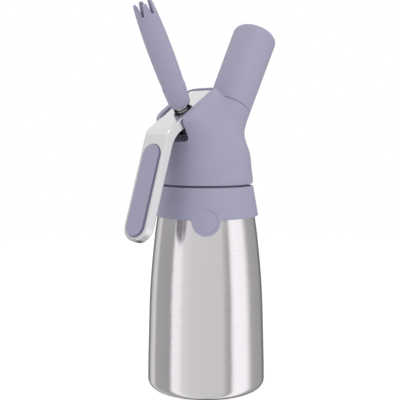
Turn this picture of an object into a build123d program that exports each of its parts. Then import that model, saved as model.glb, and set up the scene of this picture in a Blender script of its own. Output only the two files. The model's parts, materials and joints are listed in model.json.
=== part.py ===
from build123d import *
import os
from math import copysign, cos, hypot, radians, sin, sqrt, tan

os.makedirs("parts", exist_ok=True)

# ---- fits and clearances -------------------------------------------------
RUN = 0.05  # radial running fit of turning and sliding pairs
SEAT = 0.05  # gap left where two pieces bear on each other
SIDE = 0.40  # lever to cheek, each side
PRESS = 0.02  # radial gap of glued or pressed pairs

# ---- bottle --------------------------------------------------------------
BOTTLE_R = 35.0
BOTTLE_WALL = 1.2
BASE_FILLET = 4.6
FOOT_R = 25.5  # inner edge of the standing ring
DISH_RISE = 2.2
NECK_R = 22.9
THREAD_R = NECK_R + 0.2  # bore of whatever goes over the neck
LIP_Z = 133.0
LIP_WALL = 1.6
LIP_HEIGHT = 3.0
SHOULDER = [(34.42, 32.0), (33.5, 58.0), (31.62, 81.0), (NECK_R + 5.95, 102.8)]
SHOULDER_TURN = [(NECK_R + 4.0, 109.8), (NECK_R + 1.1, 114.2)]
NECK_RISE = 3.3  # from the last turn of the shoulder to the straight neck
NECK_Z = SHOULDER_TURN[-1][1] + NECK_RISE

# ---- grip collar ---------------------------------------------------------
COLLAR_Z0, COLLAR_Z1 = 102.8, 120.6
COLLAR_R0, COLLAR_R1 = SHOULDER[-1][0] + 2.15, NECK_R + 5.0
COLLAR_WALL = 2.0
TAB_R = 9.4
TAB_AZ = 48.0  # swing of the tab from the front toward the lever
TAB_Z = 103.2
TAB_FACE = COLLAR_R0 + 1.4
TAB_RING_R = 7.1

# ---- head ----------------------------------------------------------------
HEAD_Z0 = 121.9
HEAD_R = NECK_R + 4.6  # skirt of the head over the neck
HEAD_WALL = 1.9
CAVITY_TOP = 150.0
# height, middle, then what lever side, charger side and flanks have past HEAD_R, squareness
HEAD_SECTIONS = [
    (HEAD_Z0, 0.0, 0.0, 0.0, 0.0, 2.0),
    (129.0, 0.0, -0.4, -0.4, -0.4, 2.0),
    (137.0, 0.0, -1.1, -1.3, -1.1, 2.0),
    (143.0, 0.0, -1.6, -3.3, -2.3, 2.05),
    (149.0, -0.5, -1.2, -6.2, -4.9, 2.3),
    (155.0, -2.0, 0.4, -8.9, -8.1, 2.8),
    (161.0, -4.0, 2.9, -11.9, -10.5, 3.4),
    (168.0, -6.0, 4.5, -14.9, -12.1, 3.8),
    (176.0, -7.5, 5.5, -15.9, -13.2, 4.0),
    (186.0, -9.0, 6.5, -16.5, -14.1, 4.0),
]
HEAD_FRONT_X = -29.8
RIM_FRONT = (-29.4, 161.2)  # a point on the rim's slope
RIM_SLOPE = 32.4
CROWN_Z = 178.0
FRONT_CORNER = 5.0  # rim's front corner, seen from the side
CROWN_BEND = 12.0  # from the rim's slope to the level crown
RIM_ROUND = 4.4  # outer edge of rim and crown
ROOT_BLEND = 7.0  # valley between the head and the root of the charger holder
SLOT_CORNER = 2.6  # foot of the slot between the cheeks
SLOT_HALF = 9.2
SLOT_BACK = -3.2
SLOT_FOOT_X = 4.0
SLOT_STEP = (158.0, 161.0)  # heights between which the slot's rear wall slopes
SLOT_TOP = 195.0  # clear above the crown
ROOT_S0 = -8.0  # where the root of the charger holder starts, inside the head
SILL_Z = 146.5

# ---- charger holder ------------------------------------------------------
HOLDER_TILT = 29.3
HOLDER_X = 11.21
AXIS_Z = 150.0
HOLDER_R0, HOLDER_R1 = 13.2, 13.7
HOLDER_S0, HOLDER_S1 = 19.57, 73.0
SEAM_GAP = 0.35
HOLDER_THREAD_R = 11.0
HOLDER_THREAD_S1 = 32.0
LINER_R = 12.1
CHARGER_R = 9.0
CHARGER_BORE = CHARGER_R + 0.35
CHARGER_S0, CHARGER_S1 = 4.0, 70.0
CHARGER_NECK_R = 3.7

# ---- valve and decorator tip --------------------------------------------
VALVE_TILT = 28.83
VALVE_X = -12.26
BOSS_R = 6.6
BOSS_S0, BOSS_S1 = -19.0, -1.0
STEM_R = 2.4
STEM_BORE = 1.3
FLANGE_R = 6.6
FLANGE_S0, FLANGE_S1 = 9.5, 11.5
SPIGOT_R = 3.7  # carries the tip's thread
HUB_R = 3.4  # guides the spring under the flange
TIP_S0 = 19.6
TIP_RIDGE_S = 32.1
TIP_THREAD_S1 = 30.5
TIP_WALL = 1.25
TIP_BODY = [(6.5, 33.2), (6.8, 43.0), (6.85, 52.0), (6.55, 65.0), (6.05, 74.0), (5.45, 81.0)]
TIP_SLOTS = 6
TIP_SLOT_DEPTH = 6.4
TIP_SLOT_TURN = 24.0

# ---- lever ---------------------------------------------------------------
LEVER_HALF = SLOT_HALF - SIDE
LEVER_WEB = 2.2
LEVER_FLANGE = 1.8
LEVER_DEPTH = 5.9
LEVER_EDGE = 0.7  # round of the outer edge
ARM_LEAN = 0.325  # run per unit of height
ARM_X120 = -51.3
PLATE_SLOPE = 0.654
PLATE_AT = (-30.8, 159.2)
LEVER_REAR_X = -3.9
LEVER_TIP_Z = 93.0
PIVOT = (-8.0, 166.9)
PIN_R = 1.6
EYE_R = 3.4
LUG_HALF = 4.0
LUG_TOP = 3.1  # head core's lug above the pin's axis
LOBE_R = 1.2
LOBE_GAP = 4.3  # half of the space between the two lobes
PLATE_HOLE_R = 4.8
PAD_HALF = 6.65
PAD_PROUD = 1.2
PAD_SINK = 0.5
PAD_TOP = 26.9  # along the arm from the height where ARM_X120 is taken

# ---- head core -----------------------------------------------------------
CORE_R = NECK_R + 1.3
GASKET_WIDTH = 3.4
DISC_Z0, DISC_Z1 = 135.0, 138.0


def axis_plane(x, tilt):
    """A plane whose normal leans `tilt` degrees toward +X."""
    lean = radians(tilt)
    return Plane(origin=(x, 0, AXIS_Z), x_dir=(cos(lean), 0, -sin(lean)), z_dir=(sin(lean), 0, cos(lean)))


HOLDER = axis_plane(HOLDER_X, HOLDER_TILT)
VALVE = axis_plane(VALVE_X, -VALVE_TILT)


def turned(*outline):
    """Solid of revolution about Z from a closed outline of (radius, height)."""
    return revolve(Plane.XZ * make_face(outline), Axis.Z)


def turned_poly(points, radii=0):
    if radii == 0:
        return turned(Polyline(*points, close=True))
    return turned(FilletPolyline(*points, radius=radii, close=True))


def ring(outer, inner, low, high):
    return turned_poly([(inner, low), (outer, low), (outer, high), (inner, high)])


def rod(radius, low, high):
    return Pos(0, 0, (low + high) / 2) * Cylinder(radius, high - low)


def on(plane, shape):
    return plane.location * shape


def slab(points, half, radii=0):
    """Prism of an (x, z) outline, `half` to each side of the middle plane."""
    line = Polyline(*points, close=True) if radii == 0 else FilletPolyline(*points, radius=radii, close=True)
    return extrude(Plane.XZ * make_face(line), half, both=True)


def cross_rod(centre, radius, half):
    return Pos(centre[0], 0, centre[1]) * Rot(90, 0, 0) * Cylinder(radius, 2 * half)


def along(plane, distance, across=0.0):
    """World (x, z) of a point `distance` along a tilted axis."""
    at = plane.from_local_coords((across, 0, distance))
    return (at.X, at.Z)


# ---- bottle --------------------------------------------------------------
def bottle_line(inset, foot, lip):
    """Side of the bottle from the base fillet to the lip, moved in by `inset`."""
    start = (BOTTLE_R - inset, BASE_FILLET)
    body = [(r - inset, z) for r, z in SHOULDER]
    turn = [(r - inset, z) for r, z in SHOULDER_TURN]
    neck = (NECK_R - inset, NECK_Z)
    side = Spline(start, *body, *turn, neck, tangents=[(0, 1), (0, 1)])
    corner_r = BASE_FILLET - inset
    corner = RadiusArc((BOTTLE_R - BASE_FILLET, BASE_FILLET - corner_r), start, -corner_r)
    floor = Line((foot, BASE_FILLET - corner_r), (BOTTLE_R - BASE_FILLET, BASE_FILLET - corner_r))
    return [floor, corner, side, Line(neck, (NECK_R - inset, lip))]


def bottle_solid(inset, dish, lip):
    foot_z = inset
    dish_arc = ThreePointArc((0, dish), (FOOT_R / 2, foot_z + (dish - foot_z) * 0.75), (FOOT_R, foot_z))
    edges = [dish_arc, *bottle_line(inset, FOOT_R, lip)]
    return turned(*edges, Line((NECK_R - inset, lip), (0, lip)), Line((0, lip), (0, dish)))


def make_bottle():
    outer = bottle_solid(0, DISH_RISE, LIP_Z)
    inner = bottle_solid(BOTTLE_WALL, DISH_RISE + BOTTLE_WALL, LIP_Z + 1)
    shell = outer - inner
    return shell + ring(NECK_R, NECK_R - LIP_WALL, LIP_Z - LIP_HEIGHT, LIP_Z)


def make_grip_collar():
    inner0 = SHOULDER[-1][0] + 2 * SEAT
    outline = [
        (inner0, COLLAR_Z0),
        (COLLAR_R0, COLLAR_Z0),
        (COLLAR_R1, COLLAR_Z1),
        (THREAD_R, COLLAR_Z1),
        (THREAD_R, COLLAR_Z1 - COLLAR_WALL),
        (COLLAR_R1 - COLLAR_WALL, COLLAR_Z1 - COLLAR_WALL),
    ]
    collar = turned_poly(outline, [0.3, 0.6, 0.9, 0.3, 0, 1.2])
    swing = radians(TAB_AZ)
    out = (-sin(swing), -cos(swing), 0)
    face = Plane(origin=(0, 0, TAB_Z), x_dir=(cos(swing), -sin(swing), 0), z_dir=out)
    disc = fillet((Pos(0, 0, TAB_FACE - 5) * Cylinder(TAB_R, 10)).edges().sort_by(Axis.Z)[-1], 0.9)
    groove = ring(TAB_RING_R + 0.4, TAB_RING_R - 0.4, TAB_FACE - 0.4, TAB_FACE + 1)
    tab = on(face, disc - groove)
    return (collar + tab) - bottle_solid(-SEAT, DISH_RISE, LIP_Z)


# ---- head housing --------------------------------------------------------
def head_section(z, middle, front, rear, half, square, inset=0.0):
    """Egg outline at one height: squarer on the lever side, round on the charger side."""
    points = []
    for step in range(20):
        turn = radians(18 * step)
        c, s = cos(turn), sin(turn)
        power = 2 / (square if c < 0 else 2)
        reach = HEAD_R + (front if c < 0 else rear) - inset
        x = middle + copysign(reach * abs(c) ** power, c)
        y = copysign((HEAD_R + half - inset) * abs(s) ** power, s)
        points.append((x, y, z))
    return make_face(Spline(*points, periodic=True))


def head_mass(inset=0.0):
    return loft([head_section(*row, inset) for row in HEAD_SECTIONS])


def rim_outline():
    """Side outline under the rim: steep front, round corner, long slope, level crown."""
    slope = tan(radians(RIM_SLOPE))
    knee = RIM_FRONT[0] + (CROWN_Z - RIM_FRONT[1]) / slope
    front_z = RIM_FRONT[1] + slope * (HEAD_FRONT_X - RIM_FRONT[0])
    points = [
        (HEAD_FRONT_X, HEAD_Z0 - 10),
        (60, HEAD_Z0 - 10),
        (60, CROWN_Z),
        (knee, CROWN_Z),
        (HEAD_FRONT_X, front_z),
    ]
    return FilletPolyline(*points, radius=[0, 0, 0, CROWN_BEND, FRONT_CORNER], close=True)


def on_holder_wall(edge):
    """True for an edge that runs round the wall of the charger holder's root."""
    places = [HOLDER.to_local_coords(edge @ t) for t in (0.1, 0.5, 0.9)]
    on_wall = all(abs(hypot(p.X, p.Y) - HOLDER_R0) < 0.02 and p.Z < HOLDER_S0 - 0.05 for p in places)
    return on_wall and edge.geom_type != GeomType.LINE


def make_head_housing():
    outer = head_mass() & extrude(Plane.XZ * make_face(rim_outline()), 60, both=True)
    rim = outer.edges().filter_by(lambda e: e.center().Z > SILL_Z and e.geom_type != GeomType.LINE)
    rim = rim.filter_by(lambda e: any(abs(v.Y) > 0.01 for v in e.vertices()))
    outer = fillet(rim, RIM_ROUND)
    outer += on(HOLDER, rod(HOLDER_R0, ROOT_S0, HOLDER_S0))
    outer = fillet(outer.edges().filter_by(on_holder_wall), ROOT_BLEND)
    cavity = head_mass(HEAD_WALL) & (Pos(0, 0, CAVITY_TOP - 50) * Box(90, 90, 100))
    slot_outline = [
        (-50, SILL_Z),
        (SLOT_FOOT_X, SILL_Z),
        (SLOT_FOOT_X, SLOT_STEP[0]),
        (SLOT_BACK, SLOT_STEP[1]),
        (SLOT_BACK, SLOT_TOP),
        (-50, SLOT_TOP),
    ]
    slot = slab(slot_outline, SLOT_HALF)
    foot = slot.edges().filter_by(Axis.X).filter_by(lambda e: abs(e.center().Z - SILL_Z) < SEAT)
    slot = fillet(foot, SLOT_CORNER)
    bore = on(HOLDER, rod(HOLDER_THREAD_R + 0.3, -16, 30))
    return outer - cavity - slot - bore


# ---- head core and its small parts --------------------------------------
def make_head_core():
    skirt = ring(CORE_R, THREAD_R, HEAD_Z0 + 0.8, DISC_Z1)
    disc = rod(CORE_R, DISC_Z0, DISC_Z1)
    valve_boss = on(VALVE, rod(BOSS_R, BOSS_S0, BOSS_S1))
    charger_boss = on(
        HOLDER,
        rod(10.5, -20, 18) + rod(HOLDER_THREAD_R, 17, HOLDER_THREAD_S1),
    ) & (Pos(0, 0, DISC_Z0 + 50) * Box(90, 90, 100))
    lug_outline = [
        (PIVOT[0] - 3.0, DISC_Z0 + 1),
        (PIVOT[0] + 10.0, DISC_Z0 + 1),
        (PIVOT[0] + 9.0, 154),
        (PIVOT[0] + 3.6, 160.5),
        (PIVOT[0] + 3.6, PIVOT[1] + 0.1),
        (PIVOT[0], PIVOT[1] + LUG_TOP),
        (PIVOT[0] - 3.4, PIVOT[1] + 0.1),
        (PIVOT[0] - 0.4, 158.5),
        (PIVOT[0] + 2.8, 152.5),
    ]
    over = slab([(-20, PIVOT[1]), (0, PIVOT[1]), (0, PIVOT[1] + 13), (-20, PIVOT[1] + 13)], 2 * LUG_HALF + 1)
    eye = cross_rod(PIVOT, EYE_R, LUG_HALF)
    lug = slab(lug_outline, LUG_HALF) - over + eye
    body = skirt + disc + valve_boss + charger_boss + lug
    body -= cross_rod(PIVOT, PIN_R + PRESS, 2 * LUG_HALF + 1)
    body -= on(VALVE, rod(STEM_R + 0.3, -30, 5) + rod(3.7, -8, -5) + rod(4.5, -6, 3) + rod(5.2, -30, BOSS_S0))
    body -= on(HOLDER, rod(CHARGER_BORE, 5, 40) + rod(5.6, -6, 6) + rod(1.0, -17.5, 0))
    drain = along(HOLDER, -16)
    return body - Pos(drain[0], 0, DISC_Z0 - 1) * Cylinder(1.0, 8)


def make_head_gasket():
    outer = NECK_R - 0.1
    inner = outer - GASKET_WIDTH
    low, high = LIP_Z + SEAT, DISC_Z0 - SEAT
    return turned_poly([(inner, low), (outer, low), (outer, high), (inner, high)], 0.5)


def make_lever_pin():
    return cross_rod(PIVOT, PIN_R, SLOT_HALF - 0.2)


def make_valve_bush():
    outline = [(STEM_R + RUN, -5.9), (4.45, -5.9), (4.45, -1.0), (5.9, -1.0), (5.9, -0.2), (STEM_R + RUN, -0.2)]
    return on(VALVE, turned_poly([(r, s + (SEAT if s > -5 else 0)) for r, s in outline]))


def make_stem_seal():
    return on(VALVE, Pos(0, 0, -7.0) * Torus(3.0 + 0.05, 0.6)) & on(VALVE, ring(3.62, STEM_R + 0.06, -8, -6))


def make_valve_stem():
    tube = rod(STEM_R, BOSS_S0 - 2.8, FLANGE_S0) + rod(3.9, BOSS_S0 - 4.2, BOSS_S0 - 1.6)
    tube -= rod(STEM_BORE, BOSS_S0 + 1.5, FLANGE_S1)
    tube -= Pos(0, 0, BOSS_S0 + 2.6) * Rot(90, 0, 0) * Cylinder(0.9, 12)
    tube -= Pos(0, 0, BOSS_S0 + 2.6) * Rot(0, 90, 0) * Cylinder(0.9, 12)
    return on(VALVE, tube)


def make_valve_seal():
    inner = STEM_R + PRESS
    low, high = BOSS_S0 - 1.55, BOSS_S0 - SEAT
    return on(VALVE, turned_poly([(inner, low), (4.6, low), (4.2, high), (inner, high)]))


def make_valve_spring():
    wire, mean, turns = 0.5, 4.2, 5
    low, high = 0.0, FLANGE_S0 - 0.1
    path = Helix(pitch=(high - low - 2 * wire) / turns, height=high - low - 2 * wire, radius=mean)
    section = Plane(origin=path @ 0, z_dir=path % 0) * Circle(wire)
    return on(VALVE, Pos(0, 0, low + wire) * sweep(section, path=path, is_frenet=True))


def make_tip_adapter():
    socket = STEM_R + PRESS
    land = TIP_THREAD_S1 - 1.5
    outline = [
        (socket, FLANGE_S0 - 2.6),
        (HUB_R, FLANGE_S0 - 2.6),
        (HUB_R, FLANGE_S0),
        (FLANGE_R, FLANGE_S0),
        (FLANGE_R, FLANGE_S1),
        (SPIGOT_R, FLANGE_S1),
        (SPIGOT_R, land),
        (STEM_BORE, land),
        (STEM_BORE, FLANGE_S0 + SEAT),
        (socket, FLANGE_S0 + SEAT),
    ]
    return on(VALVE, turned_poly(outline, [0, 0, 0.4, 0.4, 0.5, 0.4, 0.5, 0, 0, 0]))


def make_tip_seal():
    return on(VALVE, ring(5.0, SPIGOT_R + RUN, TIP_S0 + 0.5, TIP_S0 + 1.9))


def make_decorator_tip():
    top_r, top_s = TIP_BODY[-1]
    first = TIP_BODY[0]
    ridge = 6.75
    outer = [
        Line((SPIGOT_R + RUN, TIP_S0), (5.3, TIP_S0)),
        ThreePointArc((5.3, TIP_S0), (5.85, TIP_S0 + 0.3), (6.1, TIP_S0 + 0.9)),
        Line((6.1, TIP_S0 + 0.9), (ridge, TIP_RIDGE_S - 0.8)),
        ThreePointArc((ridge, TIP_RIDGE_S - 0.8), (ridge - 0.05, TIP_RIDGE_S), (first[0], TIP_RIDGE_S + 0.3)),
        Line((first[0], TIP_RIDGE_S + 0.3), first),
        Spline(*TIP_BODY),
        Line((top_r, top_s), (top_r - TIP_WALL, top_s)),
        Spline(*[(r - TIP_WALL, s) for r, s in reversed(TIP_BODY)]),
        Line((first[0] - TIP_WALL, first[1]), (SPIGOT_R + RUN, TIP_THREAD_S1)),
        Line((SPIGOT_R + RUN, TIP_THREAD_S1), (SPIGOT_R + RUN, TIP_S0)),
    ]
    tip = turned(*outer) - ring(5.2, 3.0, TIP_S0 - 1, TIP_S0 + 2.0)
    floor = top_s - TIP_SLOT_DEPTH
    notch_line = [(-0.75, floor), (0.75, floor), (1.9, top_s + 1), (-1.9, top_s + 1)]
    notch = make_face(FilletPolyline(*notch_line, radius=[0.4, 0.4, 0, 0], close=True))
    cutter = extrude(Plane.YZ * notch, 12)
    for step in range(TIP_SLOTS):
        tip -= Rot(0, 0, TIP_SLOT_TURN + 360 / TIP_SLOTS * step) * cutter
    return on(VALVE, tip)


# ---- lever ---------------------------------------------------------------
def arm_x(z, inward=0.0):
    return ARM_X120 + ARM_LEAN * (z - 120) + inward * sqrt(1 + ARM_LEAN**2)


def plate_z(x, below=0.0):
    return PLATE_AT[1] + PLATE_SLOPE * (x - PLATE_AT[0]) - below * sqrt(1 + PLATE_SLOPE**2)


def bend_corner(inset):
    """Where the arm line and the plate line meet, both moved in by `inset`."""
    x0, z0 = arm_x(120, inset), plate_z(0, inset)
    z = (z0 + PLATE_SLOPE * (x0 - 120 * ARM_LEAN)) / (1 - PLATE_SLOPE * ARM_LEAN)
    return (x0 + ARM_LEAN * (z - 120), z)


ARM_FACE = Plane(origin=(ARM_X120, 0, 120), x_dir=(0, -1, 0), z_dir=(-1, 0, ARM_LEAN))
ARM_RISE = sqrt(1 + ARM_LEAN**2)
TIP_ALONG = (LEVER_TIP_Z - 120) * ARM_RISE


def arm_stadium(half, low, high, depth0, depth1):
    """Round-ended bar on the arm's outer face; depths are measured inward."""
    centre = low + half
    outline = Pos(0, centre) * Circle(half)
    outline += Pos(0, (centre + high) / 2) * Rectangle(2 * half, high - centre)
    return extrude(ARM_FACE.offset(-depth1) * outline, depth1 - depth0)


def make_lever():
    low_z = LEVER_TIP_Z - 6
    profile = [
        (arm_x(low_z), low_z),
        bend_corner(0),
        (LEVER_REAR_X, plate_z(LEVER_REAR_X)),
        (LEVER_REAR_X, PIVOT[1] - 4.2),
        (-27.8, plate_z(-27.8, 6.2)),
        bend_corner(LEVER_DEPTH + 0.15),
        (arm_x(low_z, LEVER_DEPTH), low_z),
    ]
    body = slab(profile, LEVER_HALF, [0, 6.5, 0.8, 3.6, 5, 16, 0])
    body &= arm_stadium(LEVER_HALF, TIP_ALONG, 140, -40, 60)
    tip_z = LEVER_TIP_Z + LEVER_HALF
    channel = slab(
        [
            (arm_x(tip_z, LEVER_WEB), tip_z),
            bend_corner(LEVER_WEB),
            (8, plate_z(8, LEVER_WEB)),
            (8, 130),
            (-20, 120),
            (-30, tip_z - 8),
        ],
        LEVER_HALF - LEVER_FLANGE,
        [1.0, 4.5, 0, 0, 0, 0],
    )
    body -= channel
    rim = body.edges().filter_by(lambda e: abs(abs(e.center().Y) - LEVER_HALF) < 0.01)
    outer_rim = [
        e
        for e in rim
        if e.center().X - arm_x(e.center().Z) < 1.0 or plate_z(e.center().X) - e.center().Z < 1.0
    ]
    body = fillet(outer_rim, LEVER_EDGE)
    press = VALVE.to_local_coords(Vector(PIVOT[0], 0, PIVOT[1])).Z
    foot = [(-LOBE_R, press - LOBE_R), (LOBE_R, press - LOBE_R), (LOBE_R, press + 4), (-LOBE_R, press + 4)]
    lobe = slab(foot, LEVER_HALF - LEVER_FLANGE + 0.3, [LOBE_R - 0.01, LOBE_R - 0.01, 0, 0])
    body += on(VALVE, lobe - Pos(0, 0, press) * Box(20, 2 * LOBE_GAP, 20))
    body -= cross_rod(PIVOT, PIN_R + RUN, 12)
    body -= on(VALVE, rod(PLATE_HOLE_R, FLANGE_S1 + 2, 30))
    pocket = arm_stadium(PAD_HALF + SEAT, TIP_ALONG + LEVER_HALF - PAD_HALF, PAD_TOP - PAD_HALF, -1, PAD_SINK)
    pocket_end = ARM_FACE.offset(-PAD_SINK) * (Pos(0, PAD_TOP - PAD_HALF) * Circle(PAD_HALF + SEAT))
    pocket += extrude(pocket_end, PAD_SINK + 1)
    return body - pocket


def make_lever_pad():
    outline_low = TIP_ALONG + LEVER_HALF - PAD_HALF
    pad = arm_stadium(PAD_HALF, outline_low, PAD_TOP - PAD_HALF, -PAD_PROUD, PAD_SINK - SEAT)
    cap = ARM_FACE.offset(SEAT - PAD_SINK) * (Pos(0, PAD_TOP - PAD_HALF) * Circle(PAD_HALF))
    pad += extrude(cap, PAD_SINK - SEAT + PAD_PROUD)
    front = pad.faces().sort_by(lambda f: f.center().X - ARM_LEAN * f.center().Z)[0]
    return fillet(front.edges(), 0.5)


# ---- charger side --------------------------------------------------------
def make_charger_holder():
    seat = HOLDER_S0 + SEAM_GAP
    outline = [
        (LINER_R, seat),
        (HOLDER_R0, seat),
        (HOLDER_R1, HOLDER_S1 - 0.6),
        (0, HOLDER_S1 + 0.2),
        (0, HOLDER_S1 - 1.6),
        (LINER_R, HOLDER_S1 - 1.6),
    ]
    return on(HOLDER, turned_poly(outline, [0, 0.4, 4.0, 0, 0, 0]))


def make_holder_liner():
    low, high = HOLDER_S0 + SEAM_GAP + 0.3, HOLDER_S1 - 1.65
    step = HOLDER_THREAD_S1 + 2.5
    bore, thread = CHARGER_BORE + 0.15, HOLDER_THREAD_R + RUN
    outer = LINER_R - PRESS
    outline = [
        (thread, low),
        (outer, low),
        (outer, high),
        (0, high),
        (0, high - 1.4),
        (bore, high - 1.4),
        (bore, step + 1.6),
        (thread, step),
    ]
    return on(HOLDER, turned_poly(outline))


def make_gas_charger():
    end = CHARGER_S1 - 0.3
    neck = (CHARGER_NECK_R, CHARGER_S0 + 5)
    line = [
        Line((0, CHARGER_S0 + 2.2), (1.0, CHARGER_S0 + 2.2)),
        Line((1.0, CHARGER_S0 + 2.2), (1.0, CHARGER_S0)),
        Line((1.0, CHARGER_S0), (CHARGER_NECK_R, CHARGER_S0)),
        Line((CHARGER_NECK_R, CHARGER_S0), neck),
        Spline(neck, (6.35, CHARGER_S0 + 12.5), (CHARGER_R, CHARGER_S0 + 20), tangents=[(0, 1), (0, 1)]),
        Line((CHARGER_R, CHARGER_S0 + 20), (CHARGER_R, end - 6)),
        RadiusArc((CHARGER_R, end - 6), (CHARGER_R - 6, end), -6),
        Line((CHARGER_R - 6, end), (0, end)),
        Line((0, end), (0, CHARGER_S0 + 2.2)),
    ]
    return on(HOLDER, turned(*line))


def make_piercer():
    outline = [(1.0, -5.5), (5.55, -5.5), (5.55, 1.6), (0.82, 1.6), (0.82, -1.5), (1.0, -1.5)]
    return on(HOLDER, turned_poly(outline))


def make_piercing_pin():
    outline = [(0.0, -1.4), (0.8, -1.4), (0.8, 4.2), (0.0, 5.8)]
    return on(HOLDER, turned_poly(outline))


def make_piercer_gasket():
    return on(HOLDER, ring(5.3, 1.6, 1.65, CHARGER_S0 - SEAT))


def make_check_sleeve():
    return on(HOLDER, ring(5.3, 2.0, -8.4 + 2.45, -5.55))


PARTS = {
    "bottle": make_bottle,
    "grip_collar": make_grip_collar,
    "head_gasket": make_head_gasket,
    "head_housing": make_head_housing,
    "head_core": make_head_core,
    "lever_pin": make_lever_pin,
    "valve_bush": make_valve_bush,
    "stem_seal": make_stem_seal,
    "valve_spring": make_valve_spring,
    "valve_stem": make_valve_stem,
    "valve_seal": make_valve_seal,
    "tip_adapter": make_tip_adapter,
    "tip_seal": make_tip_seal,
    "decorator_tip": make_decorator_tip,
    "lever": make_lever,
    "lever_pad": make_lever_pad,
    "charger_holder": make_charger_holder,
    "holder_liner": make_holder_liner,
    "gas_charger": make_gas_charger,
    "piercer": make_piercer,
    "piercing_pin": make_piercing_pin,
    "piercer_gasket": make_piercer_gasket,
    "check_sleeve": make_check_sleeve,
}

for name, make in PARTS.items():
    export_step(make(), f"parts/{name}.step")
    print(name)
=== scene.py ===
"""Whipped cream dispenser: finishes, small details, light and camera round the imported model.

Lengths of the object are millimetres, which grid_mesh turns to metres. Floor, lamp and camera are
in metres."""

import json
import math

import bpy
import numpy as np
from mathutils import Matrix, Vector
from mathutils.bvhtree import BVHTree


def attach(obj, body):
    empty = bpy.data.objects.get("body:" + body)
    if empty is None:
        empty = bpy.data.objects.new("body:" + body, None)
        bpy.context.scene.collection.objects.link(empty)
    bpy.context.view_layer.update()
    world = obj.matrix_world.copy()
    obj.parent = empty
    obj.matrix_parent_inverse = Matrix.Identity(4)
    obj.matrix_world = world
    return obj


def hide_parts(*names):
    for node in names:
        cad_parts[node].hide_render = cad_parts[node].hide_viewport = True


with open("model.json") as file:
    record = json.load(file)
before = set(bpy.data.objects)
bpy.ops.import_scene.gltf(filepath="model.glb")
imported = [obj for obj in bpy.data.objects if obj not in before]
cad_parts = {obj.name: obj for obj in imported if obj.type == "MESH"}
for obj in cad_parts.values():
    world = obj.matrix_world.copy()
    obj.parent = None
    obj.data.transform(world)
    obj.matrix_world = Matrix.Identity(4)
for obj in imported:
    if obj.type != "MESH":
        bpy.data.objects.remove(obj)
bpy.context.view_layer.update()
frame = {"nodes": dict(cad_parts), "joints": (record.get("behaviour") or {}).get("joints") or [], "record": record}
nodes = frame["nodes"]

MM = 0.001
CAMERA_TURN = 47.56  # heading of the main view, degrees from +Y toward +X
SOLID_CREASE, PIECE_CREASE = 32, 40  # degrees above which an edge stays crisp

# Axis of the charger holder, from the joint about which it turns: its way up, its way out from the
# head, and the point from which places along it are measured, JOINT_PLACE below the joint's own.
holder_joint = next(joint for joint in frame["joints"] if joint["name"] == "holder_turn")
JOINT_PLACE = 20.0
HOLDER_UP = np.array(holder_joint["axis"])
HOLDER_SIDE = np.array([HOLDER_UP[2], 0, -HOLDER_UP[0]])
HOLDER_START = np.array(holder_joint["pos_m"]) / MM - JOINT_PLACE * HOLDER_UP
Y_WAY = np.array([0, 1, 0])


# ---- colour and node helpers ---------------------------------------------
def linear(code):
    """sRGB hex code to linear RGBA."""
    parts = [int(code[i : i + 2], 16) / 255 for i in (1, 3, 5)]
    return (*[c / 12.92 if c <= 0.04045 else ((c + 0.055) / 1.055) ** 2.4 for c in parts], 1.0)


def node(tree, kind, links=None, **settings):
    """Adds a shader node, sets its sockets and properties, and links sockets named in `links`."""
    made = tree.nodes.new(kind)
    for key, value in settings.items():
        if hasattr(made, key):
            setattr(made, key, value)
        else:
            made.inputs[key.replace("_", " ")].default_value = value
    for socket, source in (links or {}).items():
        tree.links.new(source, made.inputs[socket])
    return made


def new_material(name):
    """An empty node material and its tree."""
    material = bpy.data.materials.new(name)
    material.use_nodes = True
    tree = material.node_tree
    tree.nodes.clear()
    return material, tree


def finish_material(material, tree, shader):
    """Links the last shader to the material's output."""
    out = node(tree, "ShaderNodeOutputMaterial")
    tree.links.new(shader.outputs[0], out.inputs["Surface"])
    return material


def object_coordinates(tree, scale=(1, 1, 1)):
    """Object coordinates in metres, times `scale` along each axis."""
    coords = node(tree, "ShaderNodeTexCoord")
    return node(tree, "ShaderNodeMapping", {"Vector": coords.outputs["Object"]}, Scale=scale).outputs[0]


def pattern_scale(size_mm):
    """Scale at which a pattern on coordinates in metres repeats every `size_mm`."""
    return 1 / (size_mm * MM)


# ---- finishes ------------------------------------------------------------
def moulded_pp(name, code, roughness=0.46, cloud_mm=22.2, grain_mm=0.6, depth=0.05):
    """Moulded polypropylene: a soft, even sheen that changes slowly over `cloud_mm`, and a faint
    spark-eroded grain. The real grain, near 0.1 mm, is too fine to show and is drawn at `grain_mm`.
    A little light goes into the plastic, which keeps its shadows soft."""
    material, tree = new_material(name)
    place = {"Vector": object_coordinates(tree)}
    fine = node(tree, "ShaderNodeTexNoise", place, Scale=pattern_scale(grain_mm), Detail=2.0)
    cloud = node(tree, "ShaderNodeTexNoise", place, Scale=pattern_scale(cloud_mm), Detail=3.0)
    rough = node(
        tree,
        "ShaderNodeMapRange",
        {"Value": cloud.outputs[0]},
        To_Min=roughness - 0.03,
        To_Max=roughness + 0.05,
    )
    bump = node(tree, "ShaderNodeBump", {"Height": fine.outputs[0]}, Strength=depth, Distance=0.04 * MM)
    shader = node(
        tree,
        "ShaderNodeBsdfPrincipled",
        {"Roughness": rough.outputs[0], "Normal": bump.outputs[0]},
        Base_Color=linear(code),
        Subsurface_Weight=0.06,
        Subsurface_Scale=2 * MM,
        Subsurface_Radius=(0.6, 0.55, 0.7),
    )
    return finish_material(material, tree, shader)


BAND_LINES, BAND_SHADE = 9, 0.97  # hairlines in a band of tone, and how bright a dull band is


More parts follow.
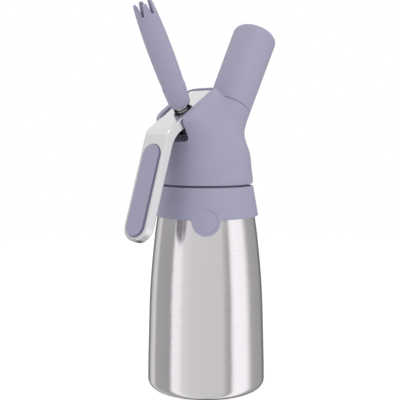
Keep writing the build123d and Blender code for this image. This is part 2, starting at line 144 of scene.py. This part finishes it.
def brushed_stainless(name, code, roughness, across, lines_mm, depth, spread, anisotropy=0.0):
    """Brushed steel: hairlines that change the gloss by `spread` and the height by `depth`, in faint
    bands of tone. `across` says how fast they change along X, Y and Z: they run where it is small,
    and follow each other every `lines_mm` where it is 1. Anisotropy about Z draws highlights on a
    turned body out into upright bands."""
    material, tree = new_material(name)
    line_scale = tuple(share * pattern_scale(lines_mm) for share in across)
    band_scale = tuple(share / BAND_LINES for share in line_scale)
    lines = {"Vector": object_coordinates(tree, line_scale)}
    bands = {"Vector": object_coordinates(tree, band_scale)}
    streak = node(tree, "ShaderNodeTexNoise", lines, Scale=1.0, Detail=4.0, Roughness=0.65)
    band = node(tree, "ShaderNodeTexNoise", bands, Scale=1.0, Detail=2.0)
    rough = node(
        tree,
        "ShaderNodeMapRange",
        {"Value": streak.outputs[0]},
        From_Min=0.3,
        From_Max=0.7,
        To_Min=roughness - spread,
        To_Max=roughness + spread,
    )
    base = linear(code)
    tone = node(tree, "ShaderNodeValToRGB", {"Fac": band.outputs[0]})
    dull, bright = tone.color_ramp.elements
    dull.position, dull.color = 0.35, (*[c * BAND_SHADE for c in base[:3]], 1.0)
    bright.position, bright.color = 0.65, base
    bump = node(tree, "ShaderNodeBump", {"Height": streak.outputs[0]}, Strength=depth, Distance=0.03 * MM)
    links = {"Base Color": tone.outputs[0], "Roughness": rough.outputs[0], "Normal": bump.outputs[0]}
    if anisotropy:
        tangent = node(tree, "ShaderNodeTangent", direction_type="RADIAL", axis="Z")
        links["Tangent"] = tangent.outputs[0]
    shader = node(
        tree,
        "ShaderNodeBsdfPrincipled",
        links,
        Metallic=1.0,
        Anisotropic=anisotropy,
        Anisotropic_Rotation=0.25,
    )
    return finish_material(material, tree, shader)


def turned_metal(name, code, roughness):
    """Metal from the lathe: faint tool lines 0.25 mm apart that break its highlights a little."""
    across = (0.025, 0.025, 1.0)
    return brushed_stainless(name, code, roughness, across, lines_mm=0.25, depth=0.12, spread=0.05)


def moulded_rubber(name, code, roughness=0.6, speck_mm=0.286):
    """Moulded rubber: a dull surface with small specks, so its highlights are broad and weak."""
    material, tree = new_material(name)
    place = {"Vector": object_coordinates(tree)}
    speck = node(tree, "ShaderNodeTexNoise", place, Scale=pattern_scale(speck_mm), Detail=2.0)
    bump = node(tree, "ShaderNodeBump", {"Height": speck.outputs[0]}, Strength=0.15, Distance=0.05 * MM)
    shader = node(
        tree,
        "ShaderNodeBsdfPrincipled",
        {"Normal": bump.outputs[0]},
        Base_Color=linear(code),
        Roughness=roughness,
    )
    return finish_material(material, tree, shader)


materials = {
    # drawn bottle, brushed round its girth: bright upright bands with soft ends. The real hairlines,
    # under 0.1 mm, are drawn a little coarser so that they show
    "bottle_steel": brushed_stainless(
        "brushed_stainless_bottle",
        "#e2dee1",
        roughness=0.17,
        across=(0.004, 0.004, 1.0),
        lines_mm=0.14,
        depth=0.04,
        spread=0.02,
        anisotropy=0.75,
    ),
    # head, collar, tip and holder: one pale lilac with a soft sheen
    "lilac_plastic": moulded_pp("moulded_pp_lilac", "#a3a1b8"),
    # inlay of the lever: the same plastic, a shade deeper and a little duller
    "pad_plastic": moulded_pp("moulded_pp_pad", "#a09eb5", roughness=0.5),
    # wall of the inlay, painted shade: the plastic is made dark so that it reads as a shadowed outline round it
    "pad_wall_painted_shade": moulded_pp("moulded_pp_pad_wall", "#6d6a86", roughness=0.55),
    # cast and polished lever: nearly white, with clear edges. The wheel's faint traces run along it,
    # and are drawn coarser than real ones so that they show
    "lever_steel": brushed_stainless(
        "polished_stainless_lever",
        "#e4e2e4",
        roughness=0.16,
        across=(1.0, 0.05, 0.3),
        lines_mm=0.5,
        depth=0.03,
        spread=0.03,
    ),
    # core of the head: greyer and softer than the steel
    "cast_core": turned_metal("machined_aluminium_core", "#c4c5c9", 0.34),
    # pin, stem, adapter and liner: clean turned steel
    "steel_parts": turned_metal("turned_stainless", "#c2c2c6", 0.26),
    # return spring: darker drawn wire
    "spring_steel": turned_metal("drawn_spring_wire", "#a9a9ae", 0.3),
    # bush and piercer: warm yellow brass
    "brass_parts": turned_metal("turned_brass", "#c9a863", 0.28),
    # ring seals and sleeve: near black and dull
    "dark_rubber": moulded_rubber("nitrile_rubber", "#1b1b1e"),
    # gaskets for food: off-white and satin
    "white_silicone": moulded_rubber("silicone_seal", "#d8d6d0", 0.5),
    # gas charger: bluish zinc over drawn steel
    "charger_steel": turned_metal("zinc_plated_charger", "#b9bbc0", 0.24),
}


def dress(obj, material):
    """Gives the object one material."""
    obj.data.materials.clear()
    obj.data.materials.append(material)


def shade(obj, angle):
    """Smooth shading with crisp edges above `angle` degrees."""
    obj.data.polygons.foreach_set("use_smooth", [True] * len(obj.data.polygons))
    obj.data.set_sharp_from_angle(angle=math.radians(angle))


slot_of = {part["node"]: part["material_slot"] for part in frame["record"]["subparts"]}
for name, obj in nodes.items():
    dress(obj, materials[slot_of[name]])
    shade(obj, SOLID_CREASE)


# ---- surfaces from numbers -----------------------------------------------
def full_turn(steps):
    """`steps` even angles round a circle, in radians from 0."""
    return np.linspace(0, 2 * np.pi, steps, endpoint=False)


def grid_mesh(name, points, body, slot, hoop=False, finish=None):
    """Closed mesh through a (rows, columns, 3) array of points in millimetres, riding on `body`. Each
    row is a ring. In a hoop the last row joins the first, and otherwise both are capped. It wears the
    material of its slot, or the one that `finish` names."""
    rows, columns = points.shape[:2]
    ids = np.arange(rows * columns).reshape(rows, columns)
    across = np.roll(ids, -1, axis=1)
    faces = np.stack([ids, across, np.roll(across, -1, axis=0), np.roll(ids, -1, axis=0)], axis=-1)
    if hoop:
        faces = faces.reshape(-1, 4).tolist()
    else:
        caps = [ids[0, ::-1].tolist(), ids[-1].tolist()]
        faces = faces[:-1].reshape(-1, 4).tolist() + caps
    mesh = bpy.data.meshes.new(name)
    mesh.from_pydata((points.reshape(-1, 3) * MM).tolist(), [], faces)
    mesh.validate()
    obj = bpy.data.objects.new(name, mesh)
    bpy.context.scene.collection.objects.link(obj)
    dress(obj, materials[finish or slot])
    shade(obj, PIECE_CREASE)
    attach(obj, body)
    return obj


# ---- threads -------------------------------------------------------------
NECK_R, TUBE_R = 22.9, 11.0  # steel neck, and the tube that the charger holder screws on
TURN_STEPS, SECTION_STEPS = 60, 12
THREAD_FADE = 60  # degrees of turn over which each end fades
THREAD_END = 0.02  # share of its height that is left at the very end
THREAD_ROOT = 0.35  # share of its height that a ridge reaches into the metal


def thread(radius, height, pitch, low, high, width):
    """Helical ridge: at turn t its middle is (r cos t, r sin t, low + pitch t / 2 pi), and round that
    runs an ellipse, `height` proud and `width` wide, whose inner side is cut flat at THREAD_ROOT. The
    height is multiplied by min(1, turn to the nearer end / THREAD_FADE)."""
    turns = (high - low) / pitch
    t = np.linspace(0, 2 * np.pi * turns, int(turns * TURN_STEPS) + 1)[:, None]
    fade = np.clip(np.minimum(t, t[-1] - t) / np.radians(THREAD_FADE), THREAD_END, 1)
    section = full_turn(SECTION_STEPS)[::-1]
    r = radius + height * fade * np.maximum(np.cos(section), -THREAD_ROOT)
    z = low + pitch * t / (2 * np.pi) + width / 2 * np.sin(section)
    return np.stack([r * np.cos(t), r * np.sin(t), z], axis=-1)


def on_holder(points):
    """Points of a piece built on +Z, leaned with the charger holder and set on its axis."""
    return HOLDER_START + points @ np.array([HOLDER_SIDE, Y_WAY, HOLDER_UP])


neck_ridge = thread(NECK_R, height=0.16, pitch=4.0, low=123.4, high=131.6, width=1.5)
grid_mesh("neck_thread", neck_ridge, "bottle", "bottle_steel")
tube_ridge = thread(TUBE_R, height=0.04, pitch=3.3, low=21.5, high=31.0, width=1.2)
grid_mesh("holder_tube_thread", on_holder(tube_ridge), "head", "cast_core")


# ---- grip collar ---------------------------------------------------------
BOTTLE_SIDE_Z = [58.0, 81.0, 92.0, 102.8]  # heights on the bottle's side, and its radii there
BOTTLE_SIDE_R = [33.5, 31.62, 30.38, 28.85]
BOTTLE_GAP = 0.15  # between the bottle and the tongue
FOOT_R, FOOT_Z = 31.0, 102.8  # the outer cone, from its foot to its top
TOP_R, TOP_Z = 27.9, 120.6
FOOT_EDGE, TOP_EDGE = 0.6, 0.9  # radii of its rounded edges
TOP_EDGE_IN = 0.75  # the top edge is rounded about a line this far inside TOP_R
BORE_R = NECK_R + 0.25
ROOF_R, ROOF_Z = 25.9, 118.6  # corner under the collar's top
INNER_FOOT_R = 28.95
SLEEVE_R, SLEEVE_Z = 24.0, 122.2  # low sleeve that darkens the gap under the head, and its top
SLEEVE_FOOT, SLEEVE_FALL = 0.3, 0.1  # bevel at its foot, and how far its top falls outward
GIRTH_R = 31.2  # radius at which distances round the collar are taken
NEAR_HALF, NEAR_STEP = 13.0, 0.16  # fine grid round the tongue
FAR_COLUMNS, CONE_ROWS = 150, 150

TAB_TURN = math.radians(48.0)  # tongue, from -Y toward -X
TONGUE_R, TONGUE_DROP, TONGUE_FILLET = 8.4, 0.5, 2.4
DISC_R, DISC_DEPTH = 6.85, 0.5  # round sunk field on the tongue
DISC_EDGE, DISC_MARGIN = 0.3, 0.12  # width of its sloping edge, and how much lies outside DISC_R


def collar_reach(z):
    """Radius of the collar's outer cone at height z."""
    return FOOT_R + (z - FOOT_Z) / (TOP_Z - FOOT_Z) * (TOP_R - FOOT_R)


def tongue_edge(s):
    """Height of the lower edge at distance s from the tongue's middle: straight, then a fillet into
    a round tongue whose centre lies TONGUE_DROP below the edge."""
    s = np.abs(s)
    reach = TONGUE_R + TONGUE_FILLET
    turn_s = math.sqrt(reach**2 - (TONGUE_FILLET - TONGUE_DROP) ** 2)
    touch = turn_s * TONGUE_R / reach
    circle = -TONGUE_DROP - np.sqrt(np.clip(TONGUE_R**2 - s**2, 0, None))
    fillet = -TONGUE_FILLET + np.sqrt(np.clip(TONGUE_FILLET**2 - (turn_s - s) ** 2, 0, None))
    return FOOT_Z + np.where(s < touch, circle, np.where(s < turn_s, fillet, 0.0))


def collar_points():
    """Closed section swept round the axis: a ring is a radius r and a height z for every distance s
    round the collar, at (-r sin a, -r cos a, z) with a = TAB_TURN + s / GIRTH_R. The rings run from
    the bore out along the roof, down the bottle to the edge that tongue_edge gives, up the cone,
    which sinks by DISC_DEPTH within DISC_R of the tongue's centre, over the top and up the sleeve."""
    near = np.arange(-NEAR_HALF, NEAR_HALF, NEAR_STEP)
    far = np.linspace(NEAR_HALF, 2 * np.pi * GIRTH_R - NEAR_HALF, FAR_COLUMNS)[1:-1]
    s = np.concatenate([near, far])[::-1]
    s = np.where(s > np.pi * GIRTH_R, s - 2 * np.pi * GIRTH_R, s)
    low = tongue_edge(s)
    foot_r = collar_reach(low) - FOOT_EDGE
    foot_turn = np.radians([[0], [20], [45], [70], [90]])
    top_turn = np.radians([[25], [50], [75], [90]])
    share = np.linspace(0, 1, CONE_ROWS)[1:, None]
    cone_z = low + FOOT_EDGE + share * (TOP_Z - TOP_EDGE - low - FOOT_EDGE)
    away = np.hypot(s, cone_z - FOOT_Z + TONGUE_DROP)
    sunk = DISC_DEPTH * np.clip((DISC_R + DISC_MARGIN - away) / DISC_EDGE, 0, 1)

    rings = [
        (BORE_R, ROOF_Z),
        (ROOF_R, ROOF_Z),
        (INNER_FOOT_R, FOOT_Z),
        (np.interp(low, BOTTLE_SIDE_Z, BOTTLE_SIDE_R) + BOTTLE_GAP, low),
        (foot_r + FOOT_EDGE * np.sin(foot_turn), low + FOOT_EDGE * (1 - np.cos(foot_turn))),
        (collar_reach(cone_z) - sunk, cone_z),
        (TOP_R - TOP_EDGE_IN + TOP_EDGE * np.cos(top_turn), TOP_Z - TOP_EDGE * (1 - np.sin(top_turn))),
        (SLEEVE_R + SLEEVE_FOOT, TOP_Z),
        (SLEEVE_R, TOP_Z + SLEEVE_FOOT / 2),
        (SLEEVE_R, SLEEVE_Z),
        (BORE_R, SLEEVE_Z + SLEEVE_FALL),
    ]
    rows = [np.broadcast_arrays(r, z, s[None, :])[:2] for r, z in rings]
    radius, height = (np.concatenate(part) for part in zip(*rows))
    angle = TAB_TURN + s / GIRTH_R
    return np.stack([-np.sin(angle) * radius, -np.cos(angle) * radius, height], axis=-1)


collar = grid_mesh("grip_collar_skin", collar_points(), "bottle", "lilac_plastic", hoop=True)
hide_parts("grip_collar")


# ---- lever pad -----------------------------------------------------------
ARM_AT = np.array([-51.3, 0.0, 120.0])  # point on the lever arm's outer face
ARM_LEAN = 0.325  # its run toward +X per unit of height
PAD_HALF, PAD_LOW, PAD_HIGH = 6.65, -19.59, 20.25  # half width, and centres of its round ends

# (inset, height above the arm's face) from foot to top
PAD_WALL = [(0.0, -0.45), (0.0, 0.1), (0.12, 0.25), (0.42, 0.92)]
PAD_ROUND = [(0.6, -0.3), (0.46, 0.85), (0.5, 0.98), (0.6, 1.08), (0.75, 1.15), (1.0, 1.19)]
PAD_FLAT = [(inset, 1.2) for inset in (1.6, 3.2, 5.2, 6.6)]


def on_arm(across, along, out):
    """Point on the lever arm's outer face: across toward -Y, along upward, out away from the bottle."""
    length = math.hypot(1, ARM_LEAN)
    out_way = np.array([-1, 0, ARM_LEAN]) / length
    up_way = np.array([ARM_LEAN, 0, 1]) / length
    return ARM_AT - across[..., None] * Y_WAY + along[..., None] * up_way + out[..., None] * out_way


def pad_rings(profile):
    """Rings of a round-ended bar: at turn t a point lies half cos t across and half sin t past the
    centre of the nearer end, where half is PAD_HALF less the ring's inset."""
    turn = full_turn(120)
    inset, height = (column[:, None] for column in np.array(profile).T)
    half = PAD_HALF - inset
    along = np.where(np.sin(turn) >= 0, PAD_HIGH, PAD_LOW) + half * np.sin(turn)
    return on_arm(half * np.cos(turn), along, np.broadcast_to(height, along.shape))


# the inlay's wall ring wears a dark painted shade, standing in for the shadow in the trench round the inlay
grid_mesh("pad_wall_ring", pad_rings(PAD_WALL), "lever", "pad_plastic", finish="pad_wall_painted_shade")
pad_face = grid_mesh("pad_face", pad_rings(PAD_ROUND + PAD_FLAT), "lever", "pad_plastic")
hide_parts("lever_pad")


# ---- soft valley between the head and the root of the charger holder ------
ROOT_LOW, ROOT_SEAM, ROOT_STEP = -16.0, 19.45, 0.4  # places along the holder's axis
ROOT_PAST = 7.0  # how far beyond the seam the holder's own wall is measured
RAY_START = 45.0  # rays start this far from the holder's axis
VALLEY_HALF = 158.0  # degrees that the skin goes round each way from HOLDER_SIDE
VALLEY_FADE = 7.0  # the last degrees on each side, in which the skin fades into the head
VALLEY_ROWS = 324  # turns at which it is worked out
VALLEY_PASSES = 420  # how often it is smoothed
VALLEY_SINK = 0.03  # where the skin adds nothing it lies this far under the head's surface
VALLEY_FULL = 0.1  # rise from which it isn't sunk any more
VALLEY_WALL = 0.8  # depth of the skin's inner side
SEAM_RISE, SEAM_ZONE = 0.25, 0.5  # most that the skin rises from SEAM_ZONE before the seam onward


def surface_tree(*names):
    """One search tree over the triangles of the named nodes, in millimetres."""
    points, faces = [], []
    for name in names:
        mesh = nodes[name].data
        mesh.calc_loop_triangles()
        corners = np.empty(3 * len(mesh.loop_triangles), dtype=np.int32)
        mesh.loop_triangles.foreach_get("vertices", corners)
        places = np.empty(3 * len(mesh.vertices), dtype=np.float32)
        mesh.vertices.foreach_get("co", places)
        faces += (corners.reshape(-1, 3) + len(points)).tolist()
        points += (places.reshape(-1, 3) / MM).tolist()
    return BVHTree.FromPolygons(points, faces)


def outer_heights(out, places):
    """Distance from the holder's axis to the outer surface, for each way out and each place along the
    axis, by a ray that comes in from RAY_START."""
    tree = surface_tree("head_housing", "charger_holder")
    origins = HOLDER_START + places[None, :, None] * HOLDER_UP + RAY_START * out[:, None, :]
    heights = np.zeros(origins.shape[:2])
    for i, j in np.ndindex(heights.shape):
        hit = tree.ray_cast(Vector(origins[i, j]), Vector(-out[i]), RAY_START)
        if hit[0] is not None:
            heights[i, j] = RAY_START - hit[3]
    return heights


def filled(solid, places):
    """Heights of a skin laid over the valley: in each pass a height becomes the mean of its four
    neighbours, but never less than the solid's own. At the seam it stays close to the holder."""
    skin = solid.copy()
    seam = places > ROOT_SEAM - SEAM_ZONE
    for _ in range(VALLEY_PASSES):
        mean = skin.copy()
        mean[1:-1, 1:-1] = (skin[2:, 1:-1] + skin[:-2, 1:-1] + skin[1:-1, 2:] + skin[1:-1, :-2]) / 4
        mean[:, seam] = np.minimum(mean, solid + SEAM_RISE)[:, seam]
        skin = np.maximum(solid, mean)
    return skin


def valley_points():
    """Skin in cylinder coordinates about the holder's axis: at turn t and place p, the point that lies
    h away from the axis is start + p up + h (side cos t + y sin t). h goes out over the skin and comes
    back VALLEY_WALL under the solid's surface. The skin's rise fades at both ends of t by f f (3 - 2 f),
    where f runs from 0 to 1 over VALLEY_FADE."""
    degrees = np.linspace(-VALLEY_HALF, VALLEY_HALF, VALLEY_ROWS)
    turn = np.radians(degrees)[:, None]
    out = np.cos(turn) * HOLDER_SIDE + np.sin(turn) * Y_WAY
    places = np.arange(ROOT_LOW, ROOT_SEAM + ROOT_PAST, ROOT_STEP)

    solid = outer_heights(out, places)
    fade = np.clip((VALLEY_HALF - np.abs(degrees)) / VALLEY_FADE, 0, 1)
    rise = (filled(solid, places) - solid) * (fade * fade * (3 - 2 * fade))[:, None]
    outer = solid + rise - VALLEY_SINK * (1 - np.clip(rise / VALLEY_FULL, 0, 1))

    below = places <= ROOT_SEAM
    axis = HOLDER_START + places[below][None, :, None] * HOLDER_UP
    there = axis + outer[:, below, None] * out[:, None, :]
    back = axis + (solid[:, below, None] - VALLEY_WALL) * out[:, None, :]
    return np.concatenate([there, back[:, ::-1]], axis=1)


grid_mesh("root_valley", valley_points(), "head", "lilac_plastic")


# ---- shelf behind the front sill, under the lever -------------------------
SHELF_FRONT, SHELF_REAR = -25.6, -16.8
SHELF_HALF = 8.9
SHELF_LOW, SHELF_HIGH = 145.2, 146.4
SHELF_EDGE = 0.4  # radius of its edges
SHELF_CORNER = 0.35  # power that squares its corners
SHELF_BEND = 4.6  # rise of the shelf at its rear


def shelf_points():
    """Bent plate: each ring is the outline (a |cos t|^p, b |sin t|^p) with the signs of cos t and
    sin t, p being SHELF_CORNER. The rings draw in round the edges, and all heights rise by
    SHELF_BEND u^2, where u runs from 0 at the front to 1 at the rear."""
    turn = full_turn(64)
    across = np.sign(np.cos(turn)) * np.abs(np.cos(turn)) ** SHELF_CORNER
    along = np.sign(np.sin(turn)) * np.abs(np.sin(turn)) ** SHELF_CORNER
    round_turn = np.radians([0, 30, 60, 90])
    inset = SHELF_EDGE * (1 - np.sin(round_turn))
    inset = np.concatenate([inset, inset[::-1]])[:, None]
    edge = SHELF_EDGE * (1 - np.cos(round_turn))
    z = np.concatenate([SHELF_LOW + edge, SHELF_HIGH - edge[::-1]])[:, None]
    middle, half = (SHELF_FRONT + SHELF_REAR) / 2, (SHELF_REAR - SHELF_FRONT) / 2
    x = middle + (half - inset) * across
    bend = SHELF_BEND * ((x - SHELF_FRONT) / (2 * half)) ** 2
    return np.stack([x, (SHELF_HALF - inset) * along, z + bend], axis=-1)


grid_mesh("sill_shelf", shelf_points(), "head", "lilac_plastic")


# ---- stage, light and camera ---------------------------------------------
CAMERA_AT = (-0.35087, -0.31593, 0.15115)
CAMERA_DOWN = 4.78  # degrees that it looks down
SENSOR_MM, LENS_MM = 36.0, 71.56
FLOOR_R, FLOOR_SIDES = 0.7, 96
FLOOR_GLOW = 0.76  # lifts the floor to white for the camera, and leaves its shadow
MIDDLE = (0, 0, 0.12)  # what the lamp faces

# Walls of the studio: degrees to the camera's right of straight in front, and how bright they are.
# Metal shows them as upright bands.
STUDIO = [
    (-180, 0.16),
    (-150, 0.24),
    (-142, 0.62),
    (-126, 0.86),
    (-118, 0.46),
    (-76, 0.42),
    (-70, 1.16),
    (-55, 1.10),
    (-48, 0.88),
    (-30, 0.78),
    (33, 0.74),
    (39, 0.56),
    (48, 0.44),
    (54, 1.12),
    (62, 1.24),
    (86, 1.18),
    (95, 0.78),
    (101, 0.52),
    (112, 0.46),
    (140, 0.40),
    (150, 0.20),
    (180, 0.16),
]
WALL_BLUE = 1.01  # the walls are this much brighter in blue
CEILING = 0.94
WALL_TOP, CEILING_EDGE = 0.14, 0.5  # sines of 8 and 30 degrees up, between which walls turn to ceiling


def stage_floor():
    """Round floor of matt painted board: a flat disc at z = 0, its rim at (r cos t, r sin t, 0). The
    camera sees it white, and mirrors look through it to the walls of the studio."""
    turn = full_turn(FLOOR_SIDES)
    rim = np.stack([FLOOR_R * np.cos(turn), FLOOR_R * np.sin(turn), 0 * turn], axis=-1)
    mesh = bpy.data.meshes.new("floor")
    mesh.from_pydata(rim.tolist(), [], [list(range(FLOOR_SIDES))])
    obj = bpy.data.objects.new("floor", mesh)
    bpy.context.scene.collection.objects.link(obj)
    material, tree = new_material("pale_floor")
    seen = node(tree, "ShaderNodeLightPath")
    matt = node(tree, "ShaderNodeBsdfDiffuse", Color=linear("#f2f2f3"))
    shadowed = node(tree, "ShaderNodeBsdfDiffuse", Color=linear("#a5a5a8"))
    glow = node(tree, "ShaderNodeEmission", Color=(1, 1, 1, 1), Strength=FLOOR_GLOW)
    white = node(tree, "ShaderNodeAddShader", {0: shadowed.outputs[0], 1: glow.outputs[0]})
    through = node(tree, "ShaderNodeBsdfTransparent")
    straight = node(
        tree,
        "ShaderNodeMixShader",
        {0: seen.outputs["Is Camera Ray"], 1: matt.outputs[0], 2: white.outputs[0]},
    )
    mirrored = node(
        tree,
        "ShaderNodeMixShader",
        {0: seen.outputs["Is Glossy Ray"], 1: straight.outputs[0], 2: through.outputs[0]},
    )
    dress(obj, finish_material(material, tree, mirrored))


def studio_colour(tree):
    """Light by direction: the walls change with the turn about Z, in straight steps between the rows
    of STUDIO, and go over into the even ceiling with the height of the direction."""
    coords = node(tree, "ShaderNodeTexCoord")
    turned = node(
        tree,
        "ShaderNodeMapping",
        {"Vector": coords.outputs["Generated"]},
        Rotation=(0, 0, math.radians(CAMERA_TURN + 90)),
    )
    radial = node(tree, "ShaderNodeTexGradient", {"Vector": turned.outputs[0]}, gradient_type="RADIAL")
    walls = node(tree, "ShaderNodeValToRGB", {"Fac": radial.outputs["Fac"]})
    stops = walls.color_ramp.elements
    while len(stops) < len(STUDIO):
        stops.new(0.5)
    for stop, (angle, level) in zip(stops, STUDIO):
        stop.position = (angle + 180) / 360
        stop.color = (level, level, level * WALL_BLUE, 1)
    direction = node(tree, "ShaderNodeSeparateXYZ", {0: coords.outputs["Generated"]})
    share = node(
        tree,
        "ShaderNodeMapRange",
        {"Value": direction.outputs["Z"]},
        interpolation_type="SMOOTHSTEP",
        From_Min=WALL_TOP,
        From_Max=CEILING_EDGE,
    )
    room = node(tree, "ShaderNodeMix", {0: share.outputs[0], 6: walls.outputs[0]}, data_type="RGBA")
    room.inputs[7].default_value = (CEILING, CEILING, CEILING, 1)
    return room.outputs[2]


def world_light():
    """Soft studio round the object, plain white where it is seen straight or through clear matter."""
    world = bpy.data.worlds.new("studio")
    bpy.context.scene.world = world
    world.use_nodes = True
    tree = world.node_tree
    tree.nodes.clear()
    studio = node(tree, "ShaderNodeBackground", {"Color": studio_colour(tree)}, Strength=1.0)
    white = node(tree, "ShaderNodeBackground", Color=(1, 1, 1, 1), Strength=1.0)
    seen = node(tree, "ShaderNodeLightPath")
    straight = node(
        tree,
        "ShaderNodeMath",
        {0: seen.outputs["Is Camera Ray"], 1: seen.outputs["Is Transmission Ray"]},
        operation="MAXIMUM",
    )
    both = node(
        tree,
        "ShaderNodeMixShader",
        {0: straight.outputs[0], 1: studio.outputs[0], 2: white.outputs[0]},
    )
    out = node(tree, "ShaderNodeOutputWorld")
    tree.links.new(both.outputs[0], out.inputs["Surface"])


def around(angle, distance, height):
    """Point `distance` from the bottle's axis, `angle` degrees to the camera's right."""
    turn = math.radians(CAMERA_TURN + 180 - angle)
    return (math.sin(turn) * distance, math.cos(turn) * distance, height)


def softbox(name, place, side, power):
    """Square area light at `place` that faces MIDDLE."""
    data = bpy.data.lights.new(name, "AREA")
    data.shape = "RECTANGLE"
    data.size, data.size_y, data.energy = side, side, power
    obj = bpy.data.objects.new(name, data)
    bpy.context.scene.collection.objects.link(obj)
    direction = np.array(MIDDLE) - np.array(place)
    distance = float(np.linalg.norm(direction))
    heading = math.atan2(direction[1], direction[0])
    obj.location = place
    obj.rotation_euler = (math.acos(-direction[2] / distance), 0, heading - math.pi / 2)


def main_camera():
    """Camera of the main view, 0.47 m from the bottle's axis and a little tilted down."""
    data = bpy.data.cameras.new("camera")
    data.sensor_width, data.lens = SENSOR_MM, LENS_MM
    data.clip_end = 20.0
    obj = bpy.data.objects.new("camera", data)
    bpy.context.scene.collection.objects.link(obj)
    obj.location = CAMERA_AT
    obj.rotation_euler = (math.radians(90 - CAMERA_DOWN), 0, math.radians(-CAMERA_TURN))
    bpy.context.scene.camera = obj


stage_floor()
world_light()
softbox("key", around(38, distance=0.9, height=0.85), side=0.5, power=1.45)
main_camera()
bpy.context.scene.view_settings.view_transform = "Standard"
